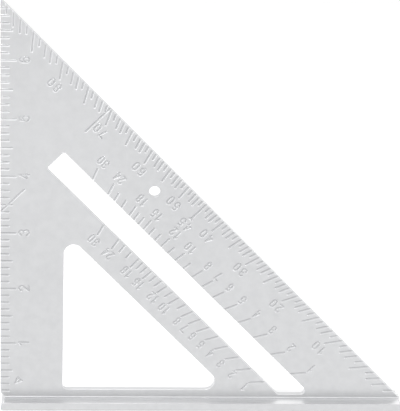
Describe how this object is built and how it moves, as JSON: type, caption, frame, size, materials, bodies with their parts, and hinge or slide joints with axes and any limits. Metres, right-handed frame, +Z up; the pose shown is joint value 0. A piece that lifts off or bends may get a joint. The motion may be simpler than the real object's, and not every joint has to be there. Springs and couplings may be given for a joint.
{
  "type": "rafter square",
  "caption": "Triangular carpenter square standing on a two-sided fence, with engraved inch, degree and rafter scales, a slot, a window and a hanging hole.",
  "frame": {"origin": "middle of the fence's underside, under the blade", "axes": "+X along the fence away from the pivot corner, +Y from the graduated front face towards the back, +Z up the straight edge"},
  "size_m": [0.178, 0.0176, 0.1813],
  "materials": {
    "cast_aluminium": "satin die-cast",
    "milled_aluminium": "milled upper faces, satin die-cast below"
  },
  "bodies": {
    "root": {"blade": "cast_aluminium", "fence": "milled_aluminium"}
  },
  "joints": []
}
